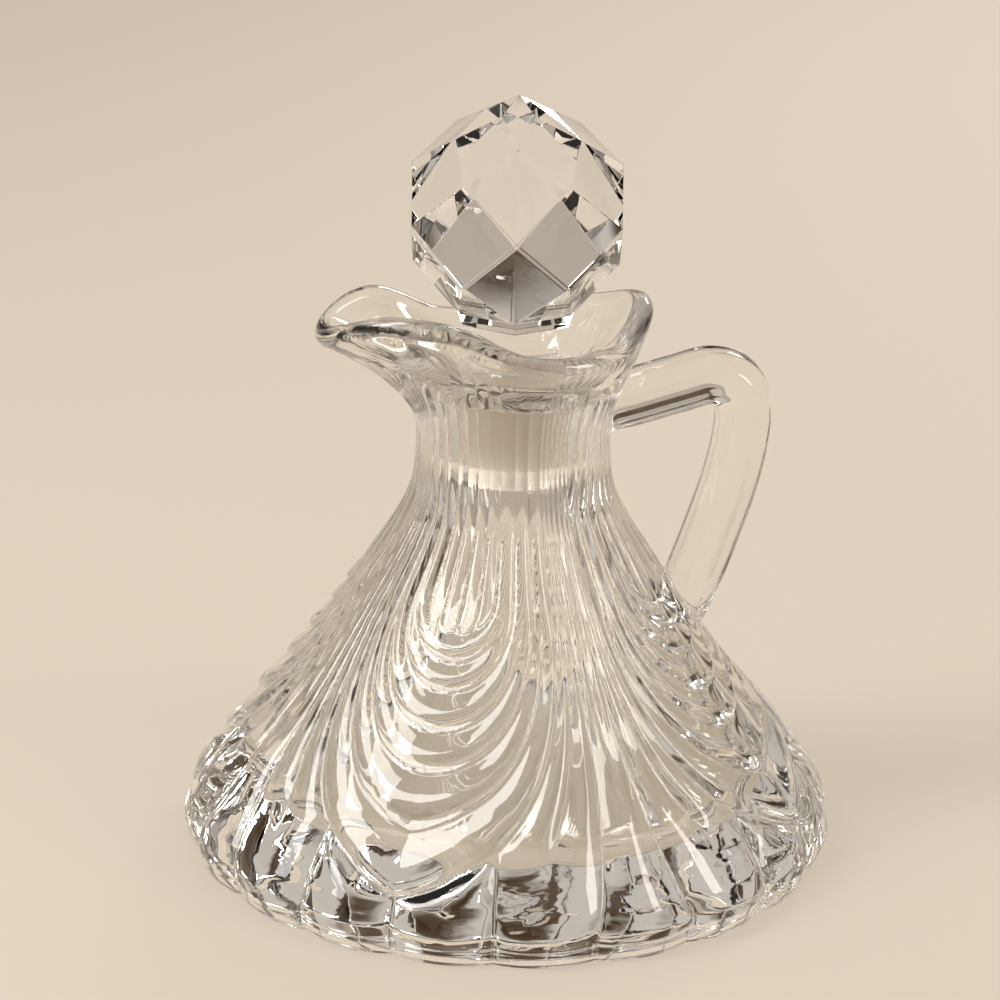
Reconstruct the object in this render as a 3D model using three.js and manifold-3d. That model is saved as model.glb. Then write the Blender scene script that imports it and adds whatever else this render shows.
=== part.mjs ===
// Pressed-glass oil and vinegar cruet: a hollow vessel, a fused handle and a cut ball stopper.
// Millimetres, +Z up, origin at the centre of the foot, handle toward +X, spout toward -X.

import * as THREE from 'three';
import { mergeVertices } from 'three/addons/utils/BufferGeometryUtils.js';
import Module from 'manifold-3d';

const wasm = await Module();
wasm.setup();
const { Manifold, Mesh } = wasm;

const DEG = Math.PI / 180;

// Bowl and neck: radius of the floor of the grooves where the bowl is widest and on the neck.
const bowlRadius = 58.4;
const neckRadius = 17.3;
const neckTop = 80;

// Shape between them: height, and share of the way from the neck's radius out to the bowl's.
const bowlShape = [
  [0, 0.951],
  [1, 0.978],
  [3.2, 0.995],
  [5.5, 1],
  [8, 0.983],
  [12, 0.922],
  [17, 0.835],
  [24, 0.713],
  [32, 0.564],
  [42, 0.397],
  [52, 0.238],
  [62, 0.085],
  [69, 0.012],
  [76, 0],
];
const bowlProfile = bowlShape.map(([z, share]) => [z, neckRadius + share * (bowlRadius - neckRadius)]);

// Drapery: four swags round the bowl, each with nested U folds and a pointed tip. One swag's middle
// lies at swagTurn, in degrees from the handle.
const swagCount = 4;
const swagTurn = -28;
const swagTop = 56;
const swagSpread = 30.4;
const foldDepths = [0, 6, 10.5, 15, 21, 27, 34, 43];
const tipDrop = 2.4;
const tipWidth = 11;
const foldCrest = 1.3;

// Pleats that hang from the gathers between the swags and end as the lobes of the rim.
const lobesPerSwag = 5;
const pleatTop = 42;
const pleatLean = 17;
const pleatFoot = 5;
const pleatSplitStart = 14;
const pleatSplitEnd = 24;
const gatherSplitStart = 20;
const gatherSplitEnd = 34;

// Height of the folds over the floor of the grooves, as a share of their width and at most.
const foldRise = 0.25;
const lobeRise = 2.1;
const footShare = 0.8;
const roundness = 0.72;
const flutesStart = 50;
const flutesWane = 62;
const flutesEnd = 76;
const neckFluteShare = 0.5;
const flutesOnLip = 0.75;

// Cavity of the vessel.
const wall = 5.2;
const floorThickness = 9;
const floorCorner = 8;

// Ground bore in the neck and the stopper's ground plug, which is 1 in 10 on the radius.
const boreTopRadius = 10.5;
const boreTop = 87.5;
const boreBottom = 75;
const groundTaper = 0.1;
const plugClearance = 0.4;

// Lip: mean height of the middle of its rounded edge, then by direction how far the edge flares out
// from the neck, how far it rises over the mean height, and its lean from level.
const lipEdgeRadius = 2.1;
const lipHeight = 98;
const lipStations = [
  { at: 0, flare: 5.5, rise: 3.8, lean: 78 },
  { at: 40, flare: 3.9, rise: 0, lean: 72 },
  { at: 90, flare: 2.7, rise: -3.8, lean: 68 },
  { at: 122, flare: 5.1, rise: -3.4, lean: 58 },
  { at: 148, flare: 11.5, rise: 2.0, lean: 38 },
  { at: 180, flare: 16.5, rise: -0.2, lean: 25 },
  { at: 208, flare: 10.1, rise: 4.8, lean: 45 },
  { at: 235, flare: 4.3, rise: 4.0, lean: 65 },
  { at: 270, flare: 2.5, rise: -1.0, lean: 74 },
  { at: 318, flare: 3.1, rise: -1.2, lean: 72 },
];

// Handle: an eight-sided bar along a bent line in the plane of the spout.
const handleWidth = 10.8;
const handleDepth = 10.2;
const handleRoute = [
  [12, 82.2],
  [22, 84.6],
  [30, 86.8],
  [36.2, 88.2],
  [40.6, 86.6],
  [42.2, 82.2],
  [41.9, 76],
  [40.2, 68],
  [37.4, 59],
  [34, 49.5],
  [28, 36],
];
const handleSteps = 44;
const handleGap = 0.55;

// Stopper: cut ball, six-sided collar, shank and plug.
const ballHeight = 119.6;
const cutsAround = 6;
const cutTurn = 22;
const cutRows = [
  { latitude: 63.1, reach: 19.14, staggered: false },
  { latitude: 52.7, reach: 18.61, staggered: true },
  { latitude: 30.9, reach: 18.59, staggered: false },
  { latitude: -0.6, reach: 18.57, staggered: true },
  { latitude: -29.4, reach: 18.46, staggered: false },
  { latitude: -46.1, reach: 19.37, staggered: true },
];
const collarSeat = 14.4;
const collarDepth = 5;
const collarSunk = 2;
const collarTopRadius = 12.7;
const collarBottomRadius = 10.8;
const shankRadius = 8.2;
const plugLength = 17;
const plugRise = 0.5;
const plugChamfer = 0.8;

// Fineness of the surfaces before they are thinned, and the triangles that thinning leaves.
const columns = 360;
const rowStep = 0.8;
const nearlyFlat = 0.03;
const vesselTriangles = 11800;
const handleTriangles = 900;

function smoothStep(low, high, value) {
  const share = Math.min(1, Math.max(0, (value - low) / (high - low)));
  return share * share * (3 - 2 * share);
}

// Smooth curve through [place, value] stations that never swings past a station.
function profileValue(stations, place) {
  const last = stations.length - 1;
  if (place <= stations[0][0]) return stations[0][1];
  if (place >= stations[last][0]) return stations[last][1];
  let i = 0;
  while (place > stations[i + 1][0]) i += 1;
  const slope = (k) => (stations[k + 1][1] - stations[k][1]) / (stations[k + 1][0] - stations[k][0]);
  const tangent = (k) => {
    if (k === 0) return slope(0);
    if (k === last) return slope(last - 1);
    const before = slope(k - 1);
    const after = slope(k);
    return before * after <= 0 ? 0 : (2 * before * after) / (before + after);
  };
  const span = stations[i + 1][0] - stations[i][0];
  const s = (place - stations[i][0]) / span;
  const s2 = s * s;
  const s3 = s2 * s;
  return (
    (2 * s3 - 3 * s2 + 1) * stations[i][1] +
    (s3 - 2 * s2 + s) * span * tangent(i) +
    (3 * s2 - 2 * s3) * stations[i + 1][1] +
    (s3 - s2) * span * tangent(i + 1)
  );
}

// Value of one lip size at an angle, from the stations round the mouth.
function lipValue(angle, key) {
  const count = lipStations.length;
  const turn = ((angle % 360) + 360) % 360;
  let i = 0;
  while (i < count - 1 && turn >= lipStations[i + 1].at) i += 1;
  const at = (k) => lipStations[((k % count) + count) % count].at + 360 * Math.floor(k / count);
  const value = (k) => lipStations[((k % count) + count) % count][key];
  const tangent = (k) => (value(k + 1) - value(k - 1)) / (at(k + 1) - at(k - 1));
  const span = at(i + 1) - at(i);
  const s = (turn - at(i)) / span;
  const s2 = s * s;
  const s3 = s2 * s;
  return (
    (2 * s3 - 3 * s2 + 1) * value(i) +
    (s3 - 2 * s2 + s) * span * tangent(i) +
    (3 * s2 - 2 * s3) * value(i + 1) +
    (s3 - s2) * span * tangent(i + 1)
  );
}

// Rounded cross-section of one fold: 0 at both edges, 1 at the crest.
function roll(share) {
  return Math.pow(Math.max(0, Math.sin(Math.PI * Math.min(1, Math.max(0, share)))), roundness);
}

// Height of one fold over the groove floor, from its edges and its width in millimetres.
function foldHeight(share, width) {
  return Math.min(lobeRise, foldRise * width) * roll(share);
}

// Depth of the nested U curve that passes through a point of a swag, measured at its middle.
function swagDepth(offset, z) {
  const drop = tipDrop * Math.max(0, 1 - offset / tipWidth) * smoothStep(30, 14, z);
  const below = Math.max(0, swagTop - z - drop);
  const side = (offset * offset) / swagSpread;
  return (side + Math.sqrt(side * side + 4 * below * below)) / 2;
}

// Angle from a swag's middle to one of its U curves, at a height.
function swagEdge(depth, z) {
  let low = 0;
  let high = 60;
  for (let i = 0; i < 24; i += 1) {
    const middle = (low + high) / 2;
    if (swagDepth(middle, z) < depth) low = middle;
    else high = middle;
  }
  return low < 0.01 ? 0 : low;
}

// Angle from a swag's middle to the groove beside the gather, which leans toward it.
function pleatEdge(z) {
  const foot = (2 * 360) / (swagCount * lobesPerSwag);
  return pleatTop + (foot - pleatTop) * Math.exp(-Math.max(0, z - pleatFoot) / pleatLean);
}

// Height of the pressed drapery over the groove floor at an angle and a height.
function drapery(angle, z) {
  const sector = 360 / swagCount;
  const lobe = sector / lobesPerSwag;
  const turn = (((angle - swagTurn) % sector) + sector) % sector;
  const offset = Math.min(turn, sector - turn);
  const radius = profileValue(bowlProfile, z);
  const perDegree = radius * DEG;
  const border = foldDepths[foldDepths.length - 1];
  const depth = swagDepth(offset, z);
  const foot = footShare + (1 - footShare) * smoothStep(0, 3, z);
  const fade = foot * (1 - (1 - neckFluteShare) * smoothStep(flutesWane, flutesEnd, z));
  const flutes = smoothStep(flutesStart - 4, flutesStart + 6, z);
  if (depth < border) {
    const down = (swagDepth(offset, z) - swagDepth(offset, z + 0.5)) / 0.5 / 1.2;
    const across = (swagDepth(offset + 0.5, z) - depth) / 0.5 / perDegree;
    const steepness = Math.hypot(down, across) + 1e-6;
    let i = 1;
    while (depth >= foldDepths[i]) i += 1;
    const fold = (from, to, crest) => {
      const share = (depth - foldDepths[from]) / (foldDepths[to] - foldDepths[from]);
      return foldHeight(Math.pow(share, crest), (foldDepths[to] - foldDepths[from]) / steepness);
    };
    if (i === 1) {
      const padShare = 0.5 + (0.5 * depth) / foldDepths[1];
      const pad = 0.8 * roll(padShare);
      const half = Math.sqrt(swagSpread * foldDepths[1]) / 2;
      const flute = foldHeight((offset % half) / half, half * perDegree);
      return fade * (pad * (1 - flutes) + flute * flutes);
    }
    const single = fold(i - 1, i, foldCrest);
    const from = i % 2 === 0 ? i - 1 : i - 2;
    const to = Math.min(from + 2, foldDepths.length - 1);
    const paired = to - from === 2 ? fold(from, to, 1) : single;
    return fade * (single * (1 - flutes) + paired * flutes);
  }
  const swagSide = swagEdge(border, z);
  const edges = [swagSide, Math.max(swagSide, lobe), pleatEdge(z), sector / 2];
  const wide = (from, to) => foldHeight((offset - from) / (to - from), (to - from) * perDegree);
  if (offset < edges[1]) return fade * wide(edges[0], edges[1]);
  if (offset < edges[2]) {
    const middle = (edges[1] + edges[2]) / 2;
    const split = smoothStep(pleatSplitStart, pleatSplitEnd, z);
    const half = offset < middle ? wide(edges[1], middle) : wide(middle, edges[2]);
    return fade * (wide(edges[1], edges[2]) * (1 - split) + half * split);
  }
  const split = smoothStep(gatherSplitStart, gatherSplitEnd, z);
  return fade * (wide(edges[2], sector - edges[2]) * (1 - split) + wide(edges[2], edges[3]) * split);
}

// Point on a cubic curve in the plane of one direction.
function cubic(a, b, c, d, s) {
  const r = 1 - s;
  const mix = (k) => r * r * r * a[k] + 3 * r * r * s * b[k] + 3 * r * s * s * c[k] + s * s * s * d[k];
  return [mix(0), mix(1)];
}

// Outline of the lip in one direction: outer sweep, rounded edge and inner sweep to the bore.
function lipOutline(angle) {
  const lean = lipValue(angle, 'lean') * DEG;
  const middle = [neckRadius + lipValue(angle, 'flare'), lipHeight + lipValue(angle, 'rise')];
  const along = [Math.cos(lean), Math.sin(lean)];
  const out = [Math.sin(lean), -Math.cos(lean)];
  const place = (turn) => [
    middle[0] + lipEdgeRadius * (Math.cos(turn) * out[0] + Math.sin(turn) * along[0]),
    middle[1] + lipEdgeRadius * (Math.cos(turn) * out[1] + Math.sin(turn) * along[1]),
  ];
  const back = (point, length) => [point[0] - length * along[0], point[1] - length * along[1]];
  const outer = place(0);
  const inner = place(Math.PI);
  const rise = outer[1] - neckTop;
  const outerPull = 0.42 * Math.hypot(outer[0] - neckRadius, rise);
  const innerPull = 0.5 * Math.hypot(inner[0] - boreTopRadius, inner[1] - boreTop);
  const flute = drapery(angle, neckTop);
  const points = [];
  for (let k = 1; k <= 14; k += 1) {
    const start = [neckRadius, neckTop];
    const leave = [neckRadius, neckTop + 0.35 * rise];
    const [radius, z] = cubic(start, leave, back(outer, outerPull), outer, k / 14);
    points.push([radius + flute * (1 - smoothStep(0, flutesOnLip, k / 14)), z]);
  }
  for (let k = 1; k < 8; k += 1) points.push(place((k * Math.PI) / 8));
  for (let k = 0; k <= 12; k += 1) {
    const leave = [boreTopRadius + 0.25 * innerPull, boreTop + 0.4 * innerPull];
    points.push(cubic(inner, back(inner, innerPull), leave, [boreTopRadius, boreTop], k / 12));
  }
  return points;
}

// Radius of the ground bore at a height.
function boreRadius(z) {
  return boreTopRadius - (boreTop - z) * groundTaper;
}

// Inside of the bowl, from the bore's lower end down to the middle of the floor.
function cavityOutline() {
  const points = [[boreRadius(boreBottom), boreBottom]];
  const throat = boreRadius(boreBottom);
  for (let z = boreBottom - 1; z > floorThickness + floorCorner; z -= 2) {
    const skin = profileValue(bowlProfile, z) - wall;
    const throatShare = smoothStep(boreBottom - 12, boreBottom, z);
    points.push([skin * (1 - throatShare) + throat * throatShare, z]);
  }
  const [cornerRadius] = points[points.length - 1];
  for (let k = 0; k <= 6; k += 1) {
    const turn = (k * Math.PI) / 12;
    const inset = cornerRadius - floorCorner;
    points.push([inset + floorCorner * Math.cos(turn), floorThickness + floorCorner * (1 - Math.sin(turn))]);
  }
  return points;
}

// Closed surface through rings of points, each ring a function of the angle, capped on the axis.
function ringSolid(rings, bottomZ, topZ) {
  const positions = [0, 0, bottomZ];
  for (const ring of rings) {
    for (let c = 0; c < columns; c += 1) {
      const angle = (360 * c) / columns;
      const [radius, z] = ring(angle, c);
      positions.push(radius * Math.cos(angle * DEG), radius * Math.sin(angle * DEG), z);
    }
  }
  positions.push(0, 0, topZ);
  const end = positions.length / 3 - 1;
  const index = [];
  const at = (row, c) => 1 + row * columns + (c % columns);
  for (let c = 0; c < columns; c += 1) {
    index.push(0, at(0, c + 1), at(0, c));
    for (let row = 0; row + 1 < rings.length; row += 1) {
      index.push(at(row, c), at(row, c + 1), at(row + 1, c + 1));
      index.push(at(row, c), at(row + 1, c + 1), at(row + 1, c));
    }
    index.push(end, at(rings.length - 1, c), at(rings.length - 1, c + 1));
  }
  return new Manifold(new Mesh({
    numProp: 3,
    vertProperties: new Float32Array(positions),
    triVerts: new Uint32Array(index),
  }));
}

// Rings of the outside of the bowl and neck, with the drapery, moved out by a clearance.
function outerRings(clearance) {
  const rings = [];
  const rows = Math.round(neckTop / rowStep);
  for (let row = 0; row <= rows; row += 1) {
    const z = (neckTop * row) / rows;
    rings.push((angle) => [profileValue(bowlProfile, z) + drapery(angle, z) + clearance, z]);
  }
  return rings;
}

const lipOutlines = [];
for (let c = 0; c < columns; c += 1) lipOutlines.push(lipOutline((360 * c) / columns));
const outerLipRows = 14;

// Error measure of a plane at a point, as the ten numbers of a symmetric matrix.
function planeMeasure(a, b, c) {
  const edge1 = [b[0] - a[0], b[1] - a[1], b[2] - a[2]];
  const edge2 = [c[0] - a[0], c[1] - a[1], c[2] - a[2]];
  const n = [
    edge1[1] * edge2[2] - edge1[2] * edge2[1],
    edge1[2] * edge2[0] - edge1[0] * edge2[2],
    edge1[0] * edge2[1] - edge1[1] * edge2[0],
  ];
  const size = Math.hypot(...n) || 1e-12;
  const [x, y, z] = n.map((value) => value / size);
  const d = -(x * a[0] + y * a[1] + z * a[2]);
  return [x * x, x * y, x * z, x * d, y * y, y * z, y * d, z * z, z * d, d * d].map((q) => q * size);
}

function measureAt(q, p) {
  const [x, y, z] = p;
  return (
    q[0] * x * x + q[4] * y * y + q[7] * z * z + q[9] +
    2 * (q[1] * x * y + q[2] * x * z + q[5] * y * z + q[3] * x + q[6] * y + q[8] * z)
  );
}

// Smallest-first queue of edges.
class EdgeQueue {
  constructor() {
    this.items = [];
  }

  push(item) {
    const items = this.items;
    let i = items.push(item) - 1;
    while (i > 0) {
      const parent = (i - 1) >> 1;
      if (items[parent].cost <= items[i].cost) break;
      [items[parent], items[i]] = [items[i], items[parent]];
      i = parent;
    }
  }

  pop() {
    const items = this.items;
    const first = items[0];
    const moved = items.pop();
    if (items.length > 0) {
      items[0] = moved;
      let i = 0;
      while (true) {
        let least = i;
        for (const child of [2 * i + 1, 2 * i + 2]) {
          if (child < items.length && items[child].cost < items[least].cost) least = child;
        }
        if (least === i) break;
        [items[least], items[i]] = [items[i], items[least]];
        i = least;
      }
    }
    return first;
  }
}

// Thins a closed surface to a number of triangles by joining the edges that matter least.
function thinSurface(solid, target) {
  const mesh = solid.getMesh();
  const points = [];
  for (let i = 0; i < mesh.vertProperties.length; i += 3) {
    points.push(Array.from(mesh.vertProperties.slice(i, i + 3)));
  }
  const faces = [];
  for (let i = 0; i < mesh.triVerts.length; i += 3) faces.push(Array.from(mesh.triVerts.slice(i, i + 3)));
  const around = points.map(() => new Set());
  const measures = points.map(() => new Array(10).fill(0));
  faces.forEach((face, f) => {
    const measure = planeMeasure(...face.map((v) => points[v]));
    for (const v of face) {
      around[v].add(f);
      measure.forEach((value, k) => {
        measures[v][k] += value;
      });
    }
  });
  const stamp = points.map(() => 0);
  const neighbours = (v) => {
    const found = new Set();
    for (const f of around[v]) for (const w of faces[f]) if (w !== v) found.add(w);
    return found;
  };
  const queue = new EdgeQueue();
  const offer = (a, b) => {
    const sum = measures[a].map((value, k) => value + measures[b][k]);
    const middle = points[a].map((value, k) => (value + points[b][k]) / 2);
    let best = null;
    for (const place of [points[a], points[b], middle]) {
      const length = Math.hypot(...points[a].map((value, k) => value - points[b][k]));
      const cost = Math.max(0, measureAt(sum, place)) + 1e-5 * length * length * length;
      if (!best || cost < best.cost) best = { cost, place, a, b, ages: stamp[a] + stamp[b] };
    }
    queue.push(best);
  };
  points.forEach((_, v) => {
    for (const w of neighbours(v)) if (v < w) offer(v, w);
  });
  const normal = (face, moved, place) => {
    const [a, b, c] = face.map((v) => (v === moved ? place : points[v]));
    const u = [b[0] - a[0], b[1] - a[1], b[2] - a[2]];
    const w = [c[0] - a[0], c[1] - a[1], c[2] - a[2]];
    return [u[1] * w[2] - u[2] * w[1], u[2] * w[0] - u[0] * w[2], u[0] * w[1] - u[1] * w[0]];
  };
  const turnsOver = (v, other, place) => {
    for (const f of around[v]) {
      if (faces[f].includes(other)) continue;
      const before = normal(faces[f], -1, place);
      const after = normal(faces[f], v, place);
      const dot = before[0] * after[0] + before[1] * after[1] + before[2] * after[2];
      if (dot < 0.25 * Math.hypot(...before) * Math.hypot(...after)) return true;
    }
    return false;
  };
  let left = faces.length;
  while (left > target && queue.items.length > 0) {
    const { place, a, b, ages } = queue.pop();
    if (!around[a].size || !around[b].size || stamp[a] + stamp[b] !== ages) continue;
    const nearA = neighbours(a);
    if (!nearA.has(b)) continue;
    let shared = 0;
    for (const v of neighbours(b)) if (nearA.has(v)) shared += 1;
    if (shared !== 2 || turnsOver(a, b, place) || turnsOver(b, a, place)) continue;
    for (const f of [...around[b]]) {
      if (faces[f].includes(a)) {
        for (const v of faces[f]) around[v].delete(f);
        faces[f] = null;
        left -= 1;
      } else {
        faces[f] = faces[f].map((v) => (v === b ? a : v));
        around[a].add(f);
      }
    }
    around[b].clear();
    points[a] = [...place];
    measures[a] = measures[a].map((value, k) => value + measures[b][k]);
    stamp[a] += 1;
    const ring = neighbours(a);
    for (const v of ring) stamp[v] += 1;
    for (const v of ring) offer(a, v);
    for (const v of ring) for (const w of neighbours(v)) if (w !== a && (v < w || !ring.has(w))) offer(v, w);
  }
  const used = new Map();
  const vertProperties = [];
  const triVerts = [];
  for (const face of faces) {
    if (!face) continue;
    for (const v of face) {
      if (!used.has(v)) {
        used.set(v, used.size);
        vertProperties.push(...points[v]);
      }
      triVerts.push(used.get(v));
    }
  }
  return new Manifold(new Mesh({
    numProp: 3,
    vertProperties: new Float32Array(vertProperties),
    triVerts: new Uint32Array(triVerts),
  }));
}

function makeVessel() {
  const rings = outerRings(0);
  for (let row = 0; row < lipOutlines[0].length; row += 1) rings.push((angle, c) => lipOutlines[c][row]);
  for (const point of cavityOutline()) rings.push(() => point);
  return thinSurface(ringSolid(rings, 0, floorThickness).simplify(nearlyFlat), vesselTriangles);
}

// Solid that fills the vessel out to its skin plus the gap that the handle keeps from it.
function makeHandleCutter() {
  const rings = outerRings(handleGap);
  for (let row = 0; row < outerLipRows; row += 1) {
    rings.push((angle, c) => [lipOutlines[c][row][0] + handleGap, lipOutlines[c][row][1]]);
  }
  return ringSolid(rings, 0, lipHeight + lipStations[0].rise).simplify(nearlyFlat);
}

function geometryToManifold(geometry) {
  geometry.deleteAttribute('normal');
  geometry.deleteAttribute('uv');
  const merged = mergeVertices(geometry, 1e-4);
  return new Manifold(new Mesh({
    numProp: 3,
    vertProperties: new Float32Array(merged.attributes.position.array),
    triVerts: new Uint32Array(merged.index.array),
  }));
}

function manifoldToGeometry(solid) {
  const mesh = solid.getMesh();
  const geometry = new THREE.BufferGeometry();
  geometry.setAttribute('position', new THREE.BufferAttribute(new Float32Array(mesh.vertProperties), 3));
  geometry.setIndex(new THREE.BufferAttribute(new Uint32Array(mesh.triVerts), 1));
  return geometry;
}

function makeHandle() {
  const section = new THREE.Shape();
  const flat = Math.tan(22.5 * DEG);
  const x = handleDepth / 2;
  const y = handleWidth / 2;
  const corners = [[x, y * flat], [x * flat, y], [-x * flat, y], [-x, y * flat]];
  const ring = [...corners, ...corners.map(([a, b]) => [-a, -b])];
  section.setFromPoints(ring.map(([a, b]) => new THREE.Vector2(a, b)));
  const route = new THREE.CatmullRomCurve3(handleRoute.map(([r, z]) => new THREE.Vector3(r, 0, z)));
  const bar = new THREE.ExtrudeGeometry(section, {
    steps: handleSteps,
    bevelEnabled: false,
    extrudePath: route,
  });
  return thinSurface(geometryToManifold(bar).subtract(makeHandleCutter()), handleTriangles);
}

function makeBall() {
  const blank = 4 * Math.max(...cutRows.map((row) => row.reach));
  let ball = Manifold.cube([blank, blank, blank], true);
  const step = 360 / cutsAround;
  for (const row of cutRows) {
    for (let k = 0; k < cutsAround; k += 1) {
      const turn = (cutTurn + step * (k + (row.staggered ? 0.5 : 0))) * DEG;
      const tilt = row.latitude * DEG;
      const out = [Math.cos(tilt) * Math.cos(turn), Math.cos(tilt) * Math.sin(turn), Math.sin(tilt)];
      ball = ball.trimByPlane(out.map((value) => -value), -row.reach);
    }
  }
  const underside = collarSeat + collarDepth - collarSunk;
  return ball.trimByPlane([0, 0, 1], -underside).translate([0, 0, ballHeight]);
}

function makeStopper() {
  const collarBottom = ballHeight - collarSeat - collarDepth;
  const collar = Manifold.cylinder(collarDepth, collarBottomRadius, collarTopRadius, cutsAround)
    .rotate([0, 0, cutTurn])
    .translate([0, 0, collarBottom]);
  const plugTop = boreTop + plugRise;
  const plugBottom = plugTop - plugLength;
  const plugRadius = (z) => boreRadius(z) - plugClearance;
  const outline = [
    new THREE.Vector2(0, plugBottom),
    new THREE.Vector2(plugRadius(plugBottom) - plugChamfer, plugBottom),
    new THREE.Vector2(plugRadius(plugBottom + plugChamfer), plugBottom + plugChamfer),
    new THREE.Vector2(plugRadius(plugTop), plugTop),
  ];
  const shoulder = plugRadius(plugTop) - shankRadius;
  for (let k = 1; k <= 5; k += 1) {
    const turn = (k * Math.PI) / 10;
    outline.push(new THREE.Vector2(
      shankRadius + shoulder * Math.cos(turn),
      plugTop + 1.8 * shoulder * Math.sin(turn),
    ));
  }
  outline.push(new THREE.Vector2(shankRadius, collarBottom + collarSunk));
  outline.push(new THREE.Vector2(0, collarBottom + collarSunk));
  const plug = geometryToManifold(new THREE.LatheGeometry(outline, 48).rotateX(Math.PI / 2));
  return plug.add(collar).add(makeBall());
}

function glassPart(name, solid, colour, roughness) {
  const material = new THREE.MeshStandardMaterial({
    color: colour,
    roughness,
    metalness: 0,
    transparent: true,
    opacity: 0.5,
  });
  const mesh = new THREE.Mesh(manifoldToGeometry(solid), material);
  mesh.name = name;
  return mesh;
}

const group = new THREE.Group();
group.name = 'cruet';
group.add(glassPart('vessel', makeVessel(), 0xe9ebe3, 0.06));
group.add(glassPart('handle', makeHandle(), 0xe9ebe3, 0.06));
group.add(glassPart('stopper', makeStopper(), 0xf0f1ee, 0.04));

export default group;
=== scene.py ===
import math

import bmesh
import bpy
import numpy as np
from bpy.props import FloatProperty, FloatVectorProperty, PointerProperty
from mathutils import Matrix, Vector
from mathutils.bvhtree import BVHTree


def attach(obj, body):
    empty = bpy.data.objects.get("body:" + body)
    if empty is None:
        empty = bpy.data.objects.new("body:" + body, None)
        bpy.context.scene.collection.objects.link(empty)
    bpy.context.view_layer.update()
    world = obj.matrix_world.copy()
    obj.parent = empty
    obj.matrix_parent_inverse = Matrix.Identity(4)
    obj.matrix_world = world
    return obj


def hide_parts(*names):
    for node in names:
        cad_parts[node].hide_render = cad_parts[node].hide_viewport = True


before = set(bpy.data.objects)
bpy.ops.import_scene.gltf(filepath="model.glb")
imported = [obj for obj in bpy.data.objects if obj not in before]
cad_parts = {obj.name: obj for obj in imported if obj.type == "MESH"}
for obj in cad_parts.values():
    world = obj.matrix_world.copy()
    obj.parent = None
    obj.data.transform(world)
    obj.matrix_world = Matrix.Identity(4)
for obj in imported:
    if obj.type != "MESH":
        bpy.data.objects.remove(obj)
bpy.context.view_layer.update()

bl_info = {
    "name": "Pressed-glass cruet",
    "version": (1, 0, 0),
    "blender": (4, 5, 0),
    "location": "3D View > Sidebar > Cruet",
    "description": "Glass meshes, ground joint and studio stage for an oil and vinegar cruet",
    "category": "Add Mesh",
}

MM = 0.001

# Lengths below are in millimetres and angles in degrees, unless a comment says otherwise.
# Heights are over the rest face.

# Bowl: height and radius of the floor of the grooves.
BOWL_PROFILE = [
    (0, 56.4),
    (1, 57.5),
    (3.2, 58.2),
    (5.5, 58.4),
    (8, 57.7),
    (12, 55.2),
    (17, 51.6),
    (24, 46.6),
    (32, 40.5),
    (42, 33.6),
    (52, 27.1),
    (62, 20.8),
    (69, 17.8),
    (76, 17.3),
]
NECK_TOP = 80.0
# Reach, up and down, over which the bowl's bends are eased.
BOWL_EASE = 3.0
# Length along the skin of the bowl for one unit of height.
SLANT = 1.2
# Heights over which the cavity narrows into the bore.
THROAT_REACH = 12.0

# Drapery: four swags of nested U folds, and the pleats that fall from the gathers between them.
# One swag's middle lies at SWAG_TURN from the handle. Folds are counted by their depth below SWAG_TOP.
SWAG_COUNT = 4
SWAG_TURN = -28.0
SWAG_TOP = 56.0
SWAG_SPREAD = 30.4
WIDEST_SWAG = 60.0
FOLD_DEPTHS = (0, 6, 10.5, 15, 21, 27, 34, 43)
FOLD_CREST = 1.3
FOLD_ROUNDNESS = 0.72
PAD_RISE = 0.8
# Pointed tips of the lower folds: their extra drop, half width, and the heights over which they fade.
TIP_DROP = 2.4
TIP_WIDTH = 11.0
TIP_FADE = (14.0, 30.0)
# Pleats: lobes round the foot, the gather's edge at the top, and how fast it leans in above the foot.
LOBES_PER_SWAG = 5
PLEAT_TOP = 42.0
PLEAT_LEAN = 17.0
PLEAT_FOOT = 5.0
# Heights over which a lobe splits into two pleats, the gather into two, and the folds turn into flutes.
PLEAT_SPLIT = (14.0, 24.0)
GATHER_SPLIT = (20.0, 34.0)
FLUTES_FADE = (46.0, 56.0)
# Share of the relief left at the rest face, the height where it is whole, and where it wanes on the neck.
FOOT_SHARE = 0.8
FOOT_REACH = 3.0
NECK_FADE = (62.0, 76.0)

# Lip: direction in degrees, then reach, height and lean of the middle of the rounded edge.
LIP_STATIONS = [
    (0, 22.8, 101.8, 78),
    (40, 21.2, 98.0, 72),
    (90, 20.0, 94.2, 68),
    (122, 22.4, 94.6, 58),
    (148, 28.8, 100.0, 38),
    (180, 33.8, 97.8, 25),
    (208, 27.4, 102.8, 45),
    (235, 21.6, 102.0, 65),
    (270, 19.8, 97.0, 74),
    (318, 20.4, 96.8, 72),
]

# The lip's sweep: how hard the neck and the edge pull on the outer and the inner curve, and the part
# of the outer curve over which the flutes run out.
NECK_PULL = 0.35
OUTER_PULL = 0.42
INNER_PULL = 0.5
BORE_PULL = (0.25, 0.4)
FLUTES_OUT = (0.25, 0.95)

# Handle: the bent line of its middle, as distance from the axis and height.
HANDLE_ROUTE = [
    (12, 82.2),
    (22, 84.6),
    (30, 86.8),
    (36.2, 88.2),
    (40.6, 86.6),
    (42.2, 82.2),
    (41.9, 76),
    (40.2, 68),
    (37.4, 59),
    (34, 49.5),
    (28, 36),
]

# Weld: how near to both skins a point of the seam lies, how many points out from the seam the rounding
# goes at most, and how often and how much it smooths.
SEAM_REACH = 0.04
WELD_RINGS = 12
WELD_PASSES = 14
WELD_PULL = 0.6

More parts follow.
